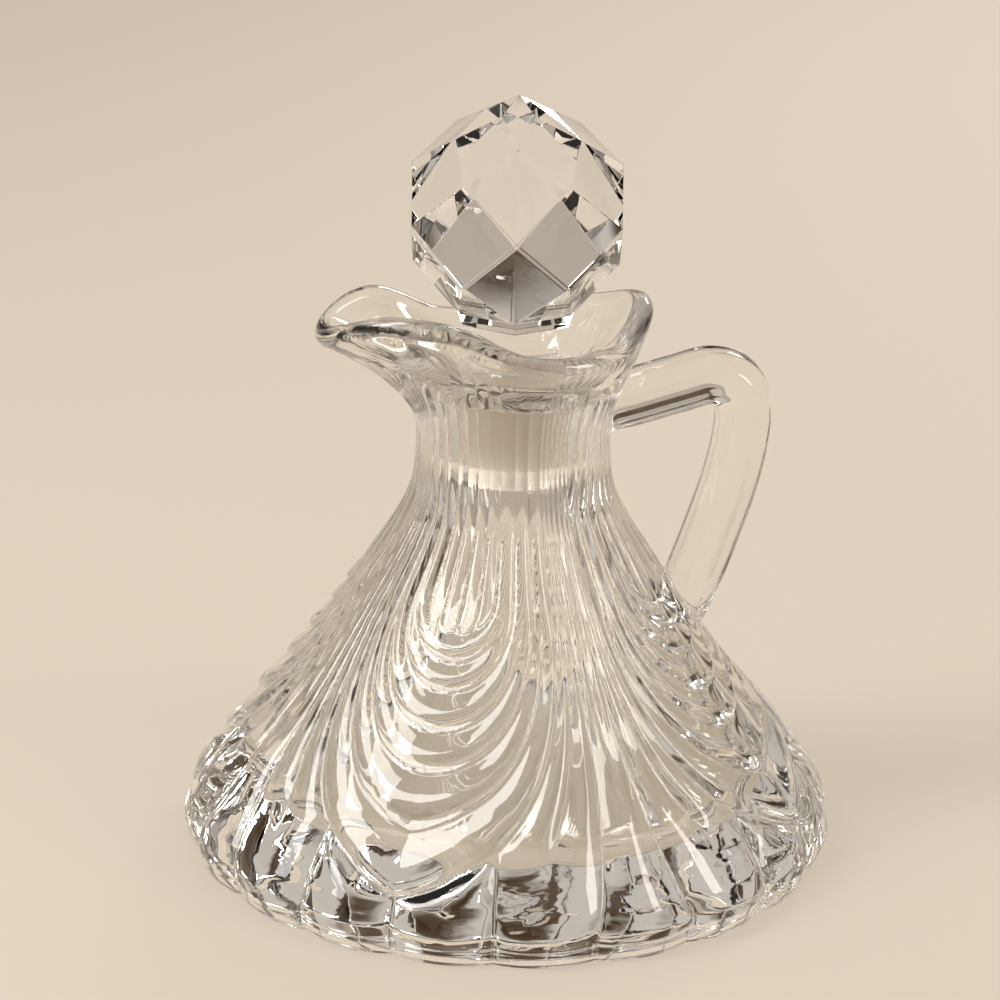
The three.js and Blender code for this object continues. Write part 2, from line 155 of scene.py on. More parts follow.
# Stopper: cuts of the ball as latitude, reach of the flat and whether the row is turned half a step.
CUTS_AROUND = 6
CUT_TURN = 22.0
CUT_ROWS = [
    (63.1, 19.14, False),
    (52.7, 18.61, True),
    (30.9, 18.59, False),
    (-0.6, 18.57, True),
    (-29.4, 18.46, False),
    (-46.1, 19.37, True),
]

# Corners of flats that lie closer than this are cut to one point.
CORNER_MEET = 0.3

# How far ball and shank run down or up into the collar, and how tall the plug's shoulder is for its width.
COLLAR_SUNK = 2.0
SHOULDER_STRETCH = 1.8

# Fineness of the drawn meshes as steps and counts, and the passes that round the grooves.
COLUMNS = 1000
ROW_STEP = 0.38
POLISH_PASSES = 4
LIP_ROWS = 30
LIP_EDGE_ROWS = 16
FUNNEL_ROWS = 26
BORE_ROWS = 16
CAVITY_STEP = 1.0
FLOOR_CORNER_ROWS = 12
HANDLE_ROWS = 200
HANDLE_SPAN_ROWS = 24
PANEL_COLUMNS = 6
PANEL_EDGE_COLUMNS = 3
CORE_COLUMNS = 180
PLUG_COLUMNS = 128
PLUG_ROWS = 13
SHOULDER_ROWS = 8
# Halvings that find a swag's edge, and the step over which a slope of the folds is taken.
EDGE_HALVINGS = 24
SLOPE_STEP = 0.5

# Faces that meet at more than these angles keep a crisp edge: on pressed glass and on cut glass.
PRESSED_EDGE = 42.0
CUT_EDGE = 9.0

# How strongly each glass bends light: soda-lime glass in the vessel, flint glass in the stopper.
PRESSED_INDEX = 1.52
CUT_INDEX = 1.54
# What light keeps of its colour where it passes straight through the glass.
PASSED_TINT = (0.88, 0.88, 0.87)
# How much rougher or smoother than the ground joint as a whole its pits are.
GRIND_SPREAD = 0.06

# Soft lamps as name, place and size in metres, power in watts and tint.
LAMPS = [
    ("window_lamp", (-0.72, -0.2, 0.7), (0.26, 0.8), 6.4, (1.0, 0.985, 0.96)),
    ("room_lamp", (0.75, -0.5, 0.5), (0.2, 0.5), 2.6, (1.0, 0.96, 0.9)),
    ("back_lamp", (0.55, 0.75, 0.62), (0.3, 0.12), 3.2, (1.0, 0.99, 0.97)),
]
# Points that the lamps and the camera look at, in metres.
LAMP_AIM = (0.0, 0.0, 0.06)
CAMERA_AIM = (-0.00217, 0.00031, 0.06518)
# Nearest distance that the camera still draws.
CAMERA_NEAR = 10.0
# The floor lies this far under the rest face, so that the two don't flicker through each other.
FLOOR_DROP = 0.1

# Room light: how large the dark patches are, how fast they give way with height, and how soft their edge is.
SHADE_SCALE = 2.2
SHADE_FADE = 0.05
SHADE_EDGE = (0.48, 0.55)
# Rise of the line of sight over which the backdrop gives way to the room, and the room to the ceiling.
BACKDROP_EDGE = (0.08, 0.16)
CEILING_EDGE = (0.45, 0.95)

# How often light may be bent or mirrored on its way through the thick foot.
GLASS_BOUNCES = 9


def linear(hex_colour):
    """Linear RGB of an sRGB hex colour."""
    channels = [int(hex_colour[i : i + 2], 16) / 255 for i in (0, 2, 4)]
    return [c / 12.92 if c <= 0.04045 else ((c + 0.055) / 1.055) ** 2.4 for c in channels]


def length(name, default_mm, description):
    """A length that the user can change, kept in metres."""
    return FloatProperty(
        name=name,
        description=description,
        default=default_mm * MM,
        min=0.0,
        unit="LENGTH",
        subtype="DISTANCE",
        precision=5,
    )


def colour(name, hex_colour, description):
    """A colour that the user can change."""
    return FloatVectorProperty(
        name=name,
        description=description,
        default=linear(hex_colour),
        min=0.0,
        max=1.0,
        subtype="COLOR",
        size=3,
    )


class CruetVesselSizes(bpy.types.PropertyGroup):
    """Sizes of the pressed vessel."""

    neck_radius: length("Neck radius", 17.3, "Outside radius of the waist of the neck")
    wall: length("Wall", 5.2, "Thickness of the glass between the grooves and the cavity")
    floor_thickness: length("Floor thickness", 9.0, "Thickness of the glass under the cavity")
    floor_corner: length("Floor corner", 8.0, "Radius where the cavity's side meets its floor")
    lobe_rise: length("Lobe rise", 2.2, "Height of the widest folds over the grooves")
    fold_rise: FloatProperty(
        name="Fold rise",
        description="Height of a fold as a share of its width",
        default=0.28,
        min=0.0,
        max=0.5,
    )
    neck_flute_share: FloatProperty(
        name="Neck flutes",
        description="Height of the flutes on the neck as a share of those on the shoulder",
        default=0.5,
        min=0.0,
        max=1.0,
    )
    bore_top_radius: length("Bore radius", 10.5, "Radius of the ground bore at its top")
    bore_top: length("Bore top", 87.5, "Height of the top of the ground bore")
    bore_bottom: length("Bore bottom", 75.0, "Height of the lower end of the ground bore")
    ground_taper: FloatProperty(
        name="Ground taper",
        description="Change of the bore's radius per unit of height",
        default=0.1,
        min=0.0,
        max=0.3,
    )
    lip_edge_radius: length("Lip edge radius", 2.1, "Radius of the fire-polished edge of the lip")


class CruetHandleSizes(bpy.types.PropertyGroup):
    """Sizes of the panelled handle."""

    width: length("Handle width", 10.8, "Size of the bar across the handle's plane")
    depth: length("Handle depth", 10.2, "Size of the bar in the handle's plane")
    edge_round: length("Handle edge", 1.2, "Radius of the softened edges between the panels")
    weld_depth: length("Weld depth", 2.0, "How far the bar runs into the glass that it is fused to")
    weld_fillet: length("Weld fillet", 2.2, "Reach of the softened joint between handle and vessel")


class CruetStopperSizes(bpy.types.PropertyGroup):
    """Sizes of the cut stopper."""

    ball_height: length("Ball height", 119.6, "Height of the middle of the ball")
    edge_polish: length("Facet edge", 0.26, "Width of the polished edge between two facets")
    collar_top: length("Collar top", 105.2, "Height where the collar runs into the ball")
    collar_bottom: length("Collar bottom", 100.2, "Height of the collar's lower edge")
    collar_top_radius: length("Collar top radius", 12.7, "Corner radius of the collar at its top")
    collar_bottom_radius: length("Collar bottom radius", 10.8, "Corner radius of the collar at its lower edge")
    shank_radius: length("Shank radius", 8.2, "Radius of the shank over the plug")
    plug_length: length("Plug length", 17.0, "Height of the ground plug")
    plug_rise: length("Plug rise", 0.5, "How far the plug's shoulder stands over the bore's top")
    plug_gap: length("Plug gap", 0.05, "Room between the plug and the bore")
    plug_chamfer: length("Plug chamfer", 0.8, "Chamfer of the plug's lower edge")


class CruetGlassFinish(bpy.types.PropertyGroup):
    """Colours and surface of the glass."""

    vessel_colour: colour("Vessel glass", "FEFDFA", "Tint of the pressed glass")
    stopper_colour: colour("Stopper glass", "FEFEFE", "Tint of the cut glass")
    ground_colour: colour("Ground glass", "D8CEC1", "Tint of the ground joint")
    ground_roughness: FloatProperty(
        name="Ground roughness",
        description="Roughness left by the grinding grit",
        default=0.62,
        min=0.0,
        max=1.0,
    )
    ripple_size: length("Ripple size", 5.0, "Spacing of the chill ripples of the pressed surface")
    ripple_height: length("Ripple height", 0.04, "Height of the chill ripples")
    grit_size: length("Grit size", 0.35, "Spacing of the pits of the ground joint")
    grit_height: length("Grit height", 0.02, "Depth of the pits of the ground joint")
    wheel_size: length("Wheel marks", 7.14, "Spacing of the waves that the cutting wheel leaves on the flats")
    wheel_height: length("Wheel mark height", 0.01, "Height of the waves on the flats")


class CruetStageSettings(bpy.types.PropertyGroup):
    """Camera, lamps and floor."""

    floor_colour: colour("Floor", "DCD1C2", "Colour of the plain floor")
    floor_radius: length("Floor radius", 1500.0, "Radius of the round floor")
    backdrop_colour: colour("Backdrop", "B0A497", "Colour of the plain backdrop behind the floor")
    room_colour: colour("Room", "C6BFB6", "Colour of the room's pale walls")
    shade_colour: colour("Shade", "453322", "Colour of the room's darker parts")
    ceiling_colour: colour("Ceiling", "B9B4AE", "Colour of the light from overhead")
    room_strength: FloatProperty(
        name="Room strength",
        description="Level of the room's light",
        default=1.0,
        min=0.0,
    )
    lamp_strength: FloatProperty(
        name="Lamp strength",
        description="Level of all lamps",
        default=1.0,
        min=0.0,
    )
    azimuth: FloatProperty(
        name="Camera azimuth",
        description="Direction of the camera round the vertical axis",
        default=math.radians(-8.0),
        unit="ROTATION",
        subtype="ANGLE",
    )
    elevation: FloatProperty(
        name="Camera elevation",
        description="Height of the camera over the horizon",
        default=math.radians(20.39),
        unit="ROTATION",
        subtype="ANGLE",
    )
    roll: FloatProperty(
        name="Camera roll",
        description="Turn of the camera about its own line of sight",
        default=math.radians(0.954),
        unit="ROTATION",
        subtype="ANGLE",
    )
    distance: length("Camera distance", 702.0, "Distance from the camera to the point it looks at")
    lens: FloatProperty(name="Lens", description="Focal length in millimetres", default=138.65, min=10.0)


def smooth_step(low, high, value):
    """0 below low, 1 above high, and a smooth change between."""
    share = np.clip((value - low) / (high - low), 0.0, 1.0)
    return share * share * (3.0 - 2.0 * share)


def between(start, end, leave, arrive, span, s):
    """Smooth curve from start to end with the slopes leave and arrive, at the share s of the span."""
    s2, s3 = s * s, s * s * s
    return (
        (2 * s3 - 3 * s2 + 1) * start
        + (s3 - 2 * s2 + s) * span * leave
        + (3 * s2 - 2 * s3) * end
        + (s3 - s2) * span * arrive
    )


def bowl_curve(height):
    """Radius at a height: a smooth curve that never swings past a station of the bowl."""
    x, y = np.array(BOWL_PROFILE, float).T
    slope = np.diff(y) / np.diff(x)
    tangent = np.empty_like(y)
    tangent[0], tangent[-1] = slope[0], slope[-1]
    product, total = slope[:-1] * slope[1:], slope[:-1] + slope[1:]
    tangent[1:-1] = np.where(product > 0, 2.0 * product / np.where(total == 0, 1.0, total), 0.0)
    place = np.clip(height, x[0], x[-1])
    i = np.clip(np.searchsorted(x, place) - 1, 0, len(x) - 2)
    span = x[i + 1] - x[i]
    return between(y[i], y[i + 1], tangent[i], tangent[i + 1], span, (place - x[i]) / span)


def bowl_radius(height):
    """Radius of the groove floor at a height, with its bends eased as the fire polish eases them."""
    return (bowl_curve(height - BOWL_EASE) + 2 * bowl_curve(height) + bowl_curve(height + BOWL_EASE)) / 4.0


def fold_height(share, width, sizes):
    """Height of one fold over the groove floor, 0 at both edges and highest between them."""
    highest = np.minimum(sizes.lobe_rise / MM, sizes.fold_rise * width)
    return highest * np.sin(np.pi * np.clip(share, 0.0, 1.0)) ** FOLD_ROUNDNESS


def swag_depth(offset, z):
    """Depth of the nested U curve through a point of a swag, measured at the swag's middle."""
    drop = TIP_DROP * np.maximum(0.0, 1.0 - offset / TIP_WIDTH) * (1.0 - smooth_step(*TIP_FADE, z))
    below = np.maximum(0.0, SWAG_TOP - z - drop)
    side = offset * offset / SWAG_SPREAD
    return (side + np.sqrt(side * side + 4.0 * below * below)) / 2.0


def swag_edge(depth, z):
    """Angle from a swag's middle to one of its U curves, for each height."""
    low, high = np.zeros_like(z), np.full_like(z, WIDEST_SWAG)
    for _ in range(EDGE_HALVINGS):
        middle = (low + high) / 2.0
        inside = swag_depth(middle, z) < depth
        low, high = np.where(inside, middle, low), np.where(inside, high, middle)
    return np.where(low < 0.01, 0.0, low)


def pleat_edge(z):
    """Angle from a swag's middle to the groove beside the gather, which leans toward it."""
    foot = 2 * 360.0 / (SWAG_COUNT * LOBES_PER_SWAG)
    return PLEAT_TOP + (foot - PLEAT_TOP) * np.exp(-np.maximum(0.0, z - PLEAT_FOOT) / PLEAT_LEAN)


def fold_field(angle, z, sizes):
    """Height of the pressed folds over the groove floor on a grid of heights by angles."""
    sector = 360.0 / SWAG_COUNT
    turn = np.mod(angle - SWAG_TURN, sector)
    offset, z = np.broadcast_arrays(np.minimum(turn, sector - turn)[None, :], z[:, None])
    per_degree = bowl_radius(z) * math.pi / 180.0
    depth = swag_depth(offset, z)
    flutes = smooth_step(*FLUTES_FADE, z)

    depths = np.array(FOLD_DEPTHS, float)
    down = (depth - swag_depth(offset, z + SLOPE_STEP)) / SLOPE_STEP / SLANT
    across = (swag_depth(offset + SLOPE_STEP, z) - depth) / SLOPE_STEP / per_degree
    steepness = np.hypot(down, across) + 1e-6
    i = np.clip(np.searchsorted(depths, depth, side="right"), 1, len(depths) - 1)
    first = np.where(i % 2 == 0, i - 1, i - 2)
    last = np.minimum(first + 2, len(depths) - 1)

    def fold(start, end, crest):
        share = np.clip((depth - depths[start]) / (depths[end] - depths[start]), 0.0, 1.0)
        return fold_height(share**crest, (depths[end] - depths[start]) / steepness, sizes)

    single = fold(i - 1, i, FOLD_CREST)
    paired = np.where(last - first == 2, fold(np.maximum(first, 0), last, 1.0), single)
    pad = PAD_RISE * np.sin(np.pi * np.clip(0.5 + 0.5 * depth / depths[1], 0.0, 1.0)) ** FOLD_ROUNDNESS
    half = math.sqrt(SWAG_SPREAD * depths[1]) / 2.0
    middle_flute = fold_height(np.mod(offset, half) / half, half * per_degree, sizes)
    swag = np.where(i == 1, pad * (1 - flutes) + middle_flute * flutes, single * (1 - flutes) + paired * flutes)

    side = swag_edge(depths[-1], z)
    edges = [side, np.maximum(side, sector / LOBES_PER_SWAG), pleat_edge(z), np.full_like(z, sector / 2.0)]

    def wide(start, end):
        reach = np.maximum(end - start, 1e-6)
        return fold_height((offset - start) / reach, reach * per_degree, sizes)

    middle = (edges[1] + edges[2]) / 2.0
    split = smooth_step(*PLEAT_SPLIT, z)
    halves = np.where(offset < middle, wide(edges[1], middle), wide(middle, edges[2]))
    pleats = wide(edges[1], edges[2]) * (1 - split) + halves * split
    pleats = np.where(offset < edges[1], wide(edges[0], edges[1]), pleats)
    split = smooth_step(*GATHER_SPLIT, z)
    gather = wide(edges[2], sector - edges[2]) * (1 - split) + wide(edges[2], edges[3]) * split
    pleats = np.where(offset >= edges[2], gather, pleats)

    return np.where(depth < depths[-1], swag, pleats)


def pressed_folds(angle, z, sizes):
    """The folds with their sharp grooves rounded, as the fire polish leaves them."""
    columns, rows = len(angle), len(z)
    fine_angle = np.arange(2 * columns) * 180.0 / columns + angle[0]
    fine_z = z[0] + np.arange(2 * rows - 1) * (z[-1] - z[0]) / (2 * rows - 2)
    field = fold_field(fine_angle, fine_z, sizes)
    for _ in range(POLISH_PASSES):
        field = (np.roll(field, 1, axis=1) + 2.0 * field + np.roll(field, -1, axis=1)) / 4.0
        padded = np.pad(field, ((1, 1), (0, 0)), mode="edge")
        field = (padded[:-2] + 2.0 * field + padded[2:]) / 4.0
    return field[::2, ::2]


def lip_values(angle):
    """Reach, height and lean of the lip's edge at each angle, smooth all the way round."""
    stations = np.array(LIP_STATIONS, float)
    count = len(stations)
    at = np.concatenate([stations[-2:, 0] - 360.0, stations[:, 0], stations[:3, 0] + 360.0])
    values = np.concatenate([stations[-2:, 1:], stations[:, 1:], stations[:3, 1:]])
    tangent = np.zeros_like(values)
    tangent[1:-1] = (values[2:] - values[:-2]) / (at[2:] - at[:-2])[:, None]
    turn = np.mod(angle, 360.0)
    i = np.clip(np.searchsorted(at, turn, side="right") - 1, 1, count + 2)
    span = (at[i + 1] - at[i])[:, None]
    s = (turn - at[i])[:, None] / span
    return between(values[i], values[i + 1], tangent[i], tangent[i + 1], span, s).T


def cubic(a, b, c, d, s):
    """Point on a cubic curve through a and d, pulled by b and c."""
    r = 1.0 - s
    return r**3 * a + 3 * r * r * s * b + 3 * r * s * s * c + s**3 * d


def lip_rows(angle, sizes):
    """Rows of (radius, height) from the neck over the lip's rounded edge and down to the bore."""
    reach, height, lean = lip_values(angle)
    lean = np.radians(lean)
    along = np.stack([np.cos(lean), np.sin(lean)])
    out = np.stack([np.sin(lean), -np.cos(lean)])
    middle = np.stack([reach, height])
    edge = sizes.lip_edge_radius / MM
    neck, bore, bore_top = sizes.neck_radius / MM, sizes.bore_top_radius / MM, sizes.bore_top / MM

    def place(turn):
        return middle + edge * (math.cos(turn) * out + math.sin(turn) * along)

    outer, inner = place(0.0), place(math.pi)
    rise = outer[1] - NECK_TOP
    outer_pull = OUTER_PULL * np.hypot(outer[0] - neck, rise)
    inner_pull = INNER_PULL * np.hypot(inner[0] - bore, inner[1] - bore_top)
    ones = np.ones_like(reach)
    start = np.stack([neck * ones, NECK_TOP * ones])
    leave = np.stack([neck * ones, NECK_TOP + NECK_PULL * rise])
    end = np.stack([bore * ones, bore_top * ones])
    arrive = np.stack([bore + BORE_PULL[0] * inner_pull, bore_top + BORE_PULL[1] * inner_pull])

    def skin(share):
        return cubic(start, leave, outer - outer_pull * along, outer, share)

    sweep = [skin(k / LIP_ROWS) for k in range(1, LIP_ROWS + 1)]
    flute = pressed_folds(angle, np.linspace(NECK_TOP - 1.0, NECK_TOP, 4), sizes)[-1] * sizes.neck_flute_share
    for k, row in enumerate(sweep):
        share = (k + 1) / LIP_ROWS
        way = skin(min(1.0, share + 0.01)) - skin(share - 0.01)
        way /= np.hypot(*way)
        row += np.stack([way[1], -way[0]]) * flute * (1.0 - smooth_step(*FLUTES_OUT, share))
    edge_rows = [place(k * math.pi / LIP_EDGE_ROWS) for k in range(1, LIP_EDGE_ROWS)]
    shares = np.linspace(0.0, 1.0, FUNNEL_ROWS + 1)
    inside = [cubic(inner, inner - inner_pull * along, arrive, end, share) for share in shares]
    return sweep + edge_rows + inside


def bore_radius(z, sizes):
    """Radius of the ground bore at a height."""
    return sizes.bore_top_radius / MM - (sizes.bore_top / MM - z) * sizes.ground_taper


def cavity_rows(sizes):
    """(radius, height) down the inside of the bowl, from the bore's lower end to its flat floor."""
    bottom = sizes.bore_bottom / MM
    floor, corner = sizes.floor_thickness / MM, sizes.floor_corner / MM
    throat = bore_radius(bottom, sizes)
    heights = np.arange(bottom - CAVITY_STEP, floor + corner + CAVITY_STEP / 2, -CAVITY_STEP)
    skin = bowl_radius(heights) - sizes.wall / MM
    share = smooth_step(bottom - THROAT_REACH, bottom, heights)
    radii = skin * (1 - share) + throat * share
    rows = [(throat, bottom), *zip(radii, heights)]
    inset = radii[-1] - corner
    for turn in np.linspace(0.0, math.pi / 2, FLOOR_CORNER_ROWS + 1):
        rows.append((inset + corner * math.cos(turn), floor + corner * (1.0 - math.sin(turn))))
    return rows


def ring_mesh(name, rings, low, high, slots):
    """Closed mesh through rings of (radius, height), capped on the axis. slots gives each band's material."""
    columns = len(rings[0][0])
    angle = np.arange(columns) * 2.0 * math.pi / columns
    around = np.stack([np.cos(angle), np.sin(angle)])
    points = [(0.0, 0.0, low)]
    for radius, height in rings:
        points.extend(np.stack([radius * around[0], radius * around[1], height]).T.tolist())
    points.append((0.0, 0.0, high))
    end = len(points) - 1
    near = np.arange(columns)
    far = (near + 1) % columns
    faces = np.stack([np.zeros(columns, int), 1 + far, 1 + near]).T.tolist()
    materials = [0] * columns
    for row in range(len(rings) - 1):
        a, b = 1 + row * columns, 1 + (row + 1) * columns
        faces.extend(np.stack([a + near, a + far, b + far, b + near]).T.tolist())
        materials.extend([slots[row]] * columns)
    a = 1 + (len(rings) - 1) * columns
    faces.extend(np.stack([np.full(columns, end), a + near, a + far]).T.tolist())
    materials.extend([0] * columns)
    mesh = bpy.data.meshes.new(name)
    mesh.from_pydata(points, [], faces)
    mesh.polygons.foreach_set("material_index", materials)
    mesh.transform(Matrix.Scale(MM, 4))
    return mesh


def add_object(name, mesh):
    """Object for a mesh, in the scene."""
    thing = bpy.data.objects.new(name, mesh)
    bpy.context.scene.collection.objects.link(thing)
    return thing


def shade(mesh, angle):
    """Smooth shading, with a crisp edge wherever two faces meet at more than the angle in degrees."""
    mesh.shade_smooth()
    mesh.set_sharp_from_angle(angle=math.radians(angle))


def baked(thing):
    """Replaces an object's mesh by what its modifiers make of it."""
    graph = bpy.context.evaluated_depsgraph_get()
    mesh = bpy.data.meshes.new_from_object(thing.evaluated_get(graph))
    thing.modifiers.clear()
    old, thing.data = thing.data, mesh
    bpy.data.meshes.remove(old)
    return thing


def combine(thing, other, operation):
    """Joins another closed piece to this one, or cuts it away, and removes the other."""
    step = thing.modifiers.new(operation.lower(), "BOOLEAN")
    step.operation = operation
    step.solver = "MANIFOLD"
    step.object = other
    baked(thing)
    mesh = other.data
    bpy.data.objects.remove(other)
    bpy.data.meshes.remove(mesh)
    if len(thing.data.polygons) == 0:
        raise RuntimeError(f"{operation.lower()} left nothing of {thing.name}")
    return thing


def add_node(tree, kind, settings=None, **links):
    """Adds a node with its settings, and links or fills its inputs by name, with _ for a space."""
    node = tree.nodes.new(kind)
    for name, value in (settings or {}).items():
        setattr(node, name, value)
    for name, value in links.items():
        socket = node.inputs[name.replace("_", " ")]
        if isinstance(value, bpy.types.NodeSocket):
            tree.links.new(value, socket)
        else:
            socket.default_value = value
    return node


def new_material(name):
    """Empty node material and its tree."""
    material = bpy.data.materials.new(name)
    material.use_nodes = True
    material.node_tree.nodes.clear()
    return material, material.node_tree


def finish_glass(tree, tint, index, roughness, bump):
    """Ends a glass material: light bends in it, and lamps and room light still reach what stands behind it."""
    glass = add_node(
        tree,
        "ShaderNodeBsdfPrincipled",
        Base_Color=(*tint, 1.0),
        Roughness=roughness,
        IOR=index,
        Transmission_Weight=1.0,
        Normal=bump.outputs["Normal"],
    )
    path = add_node(tree, "ShaderNodeLightPath")
    either = add_node(tree, "ShaderNodeMath", {"operation": "MAXIMUM"})
    tree.links.new(path.outputs["Is Shadow Ray"], either.inputs[0])
    tree.links.new(path.outputs["Is Diffuse Ray"], either.inputs[1])
    clear = add_node(tree, "ShaderNodeBsdfTransparent", Color=(*PASSED_TINT, 1.0))
    mix = add_node(tree, "ShaderNodeMixShader", Fac=either.outputs["Value"])
    tree.links.new(glass.outputs["BSDF"], mix.inputs[1])
    tree.links.new(clear.outputs["BSDF"], mix.inputs[2])
    add_node(tree, "ShaderNodeOutputMaterial", Surface=mix.outputs["Shader"])


def pressed_glass(name, tint, finish):
    """Soda-lime glass pressed in an iron mould and fire-polished: clear, glossy, faintly rippled."""
    material, tree = new_material(name)
    place = add_node(tree, "ShaderNodeTexCoord").outputs["Object"]
    ripples = add_node(tree, "ShaderNodeTexNoise", Vector=place, Scale=1.0 / finish.ripple_size, Detail=1.5)
    bump = add_node(
        tree, "ShaderNodeBump", Height=ripples.outputs["Fac"], Strength=1.0, Distance=finish.ripple_height
    )
    finish_glass(tree, tint, PRESSED_INDEX, 0.0, bump)
    return material


def cut_glass(name, tint, finish):
    """Flint glass cut on a wheel and polished: flat, bright facets with no haze."""
    material, tree = new_material(name)
    place = add_node(tree, "ShaderNodeTexCoord").outputs["Object"]
    waves = add_node(tree, "ShaderNodeTexNoise", Vector=place, Scale=1.0 / finish.wheel_size, Detail=1.0)
    bump = add_node(
        tree, "ShaderNodeBump", Height=waves.outputs["Fac"], Strength=1.0, Distance=finish.wheel_height
    )
    finish_glass(tree, tint, CUT_INDEX, 0.0, bump)
    return material


def ground_glass(name, tint, finish):
    """Glass ground with emery so that plug and bore seal: milky, matt, finely pitted."""
    material, tree = new_material(name)
    place = add_node(tree, "ShaderNodeTexCoord").outputs["Object"]
    pits = add_node(tree, "ShaderNodeTexNoise", Vector=place, Scale=1.0 / finish.grit_size, Detail=2.0)
    rough = add_node(
        tree,
        "ShaderNodeMapRange",
        Value=pits.outputs["Fac"],
        From_Min=0.3,
        From_Max=0.7,
        To_Min=finish.ground_roughness - GRIND_SPREAD,
        To_Max=finish.ground_roughness + GRIND_SPREAD,
    )
    bump = add_node(
        tree, "ShaderNodeBump", Height=pits.outputs["Fac"], Strength=0.5, Distance=finish.grit_height
    )
    finish_glass(tree, tint, PRESSED_INDEX, rough.outputs["Result"], bump)
    return material


class CRUET_OT_vessel(bpy.types.Operator):
    """Add the pressed vessel: draped bowl, fluted neck, flared lip, ground bore and smooth cavity"""

    bl_idname = "cruet.vessel"
    bl_label = "Vessel"
    bl_options = {"REGISTER", "UNDO"}

    def execute(self, context):
        sizes, finish = context.scene.cruet_vessel, context.scene.cruet_finish
        angle = np.arange(COLUMNS) * 360.0 / COLUMNS
        ones = np.ones(COLUMNS)
        heights = np.linspace(0.0, NECK_TOP, round(NECK_TOP / ROW_STEP) + 1)
        folds = pressed_folds(angle, heights, sizes)
        foot = FOOT_SHARE + (1.0 - FOOT_SHARE) * smooth_step(0.0, FOOT_REACH, heights)
        neck = 1.0 - (1.0 - sizes.neck_flute_share) * smooth_step(*NECK_FADE, heights)
        outside = bowl_radius(heights)[:, None] + folds * (foot * neck)[:, None]
        rings = [(outside[i], z * ones) for i, z in enumerate(heights)]
        rings += [(row[0], row[1]) for row in lip_rows(angle, sizes)]
        slots = [0] * (len(rings) - 1)
        bottom, top = sizes.bore_bottom / MM, sizes.bore_top / MM
        for z in np.linspace(top, bottom, BORE_ROWS)[1:-1]:
            rings.append((bore_radius(z, sizes) * ones, z * ones))
            slots.append(1)
        for row, (radius, z) in enumerate(cavity_rows(sizes)):
            rings.append((radius * ones, z * ones))
            slots.append(1 if row == 0 else 0)
        mesh = ring_mesh("cruet_glass", rings, 0.0, sizes.floor_thickness / MM, slots)
        vessel = add_object("cruet_glass", mesh)
        mesh.materials.append(pressed_glass("pressed_glass", finish.vessel_colour, finish))
        mesh.materials.append(ground_glass("ground_bore", finish.ground_colour, finish))
        shade(mesh, PRESSED_EDGE)
        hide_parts("vessel")
        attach(vessel, "cruet")
        return {"FINISHED"}


def on_line(t, low, high, a, b):
    """Point at t on the straight line that passes a at low and b at high."""
    return ((high - t) * a + (t - low) * b) / (high - low)


def route_points(count):
    """Evenly spaced points and directions on a smooth line through the handle's stations."""
    stations = np.array(HANDLE_ROUTE, float)
    stations = np.vstack([2 * stations[0] - stations[1], stations, 2 * stations[-1] - stations[-2]])
    line = []
    for i in range(1, len(stations) - 2):
        p = stations[i - 1 : i + 3]
        knots = np.concatenate([[0.0], np.cumsum(np.linalg.norm(np.diff(p, axis=0), axis=1) ** 0.5)])
        for t in np.linspace(knots[1], knots[2], HANDLE_SPAN_ROWS, endpoint=False):
            a = [on_line(t, knots[k], knots[k + 1], p[k], p[k + 1]) for k in range(3)]
            b = [on_line(t, knots[k], knots[k + 2], a[k], a[k + 1]) for k in range(2)]
            line.append(on_line(t, knots[1], knots[2], b[0], b[1]))
    line.append(stations[-2])
    line = np.array(line)
    run = np.concatenate([[0.0], np.cumsum(np.linalg.norm(np.diff(line, axis=0), axis=1))])
    even = np.linspace(0.0, run[-1], count)
    points = np.stack([np.interp(even, run, line[:, k]) for k in range(2)]).T
    ways = np.gradient(points, axis=0)
    return points, ways / np.linalg.norm(ways, axis=1)[:, None]


def panel_section(width, depth, edge, per_panel):
    """Eight-sided outline with softened edges, as (in plane, across) points."""
    flat = math.tan(math.pi / 8)
    x, y = depth / 2, width / 2
    half = [(x, -y * flat), (x, y * flat), (x * flat, y), (-x * flat, y)]
    corners = np.array(half + [(-a, -b) for a, b in half])
    outline = []
    for i in range(8):
        here, before, after = corners[i], corners[i - 1], corners[(i + 1) % 8]
        back = here + (before - here) / np.linalg.norm(before - here) * edge * flat * 2
        ahead = here + (after - here) / np.linalg.norm(after - here) * edge * flat * 2
        following = after + (here - after) / np.linalg.norm(here - after) * edge * flat * 2
        for s in np.linspace(0.0, 1.0, PANEL_EDGE_COLUMNS + 1):
            outline.append((1 - s) ** 2 * back + 2 * s * (1 - s) * here + s * s * ahead)
        for s in np.linspace(0.0, 1.0, per_panel + 1)[1:-1]:
            outline.append(ahead + s * (following - ahead))
    return np.array(outline)


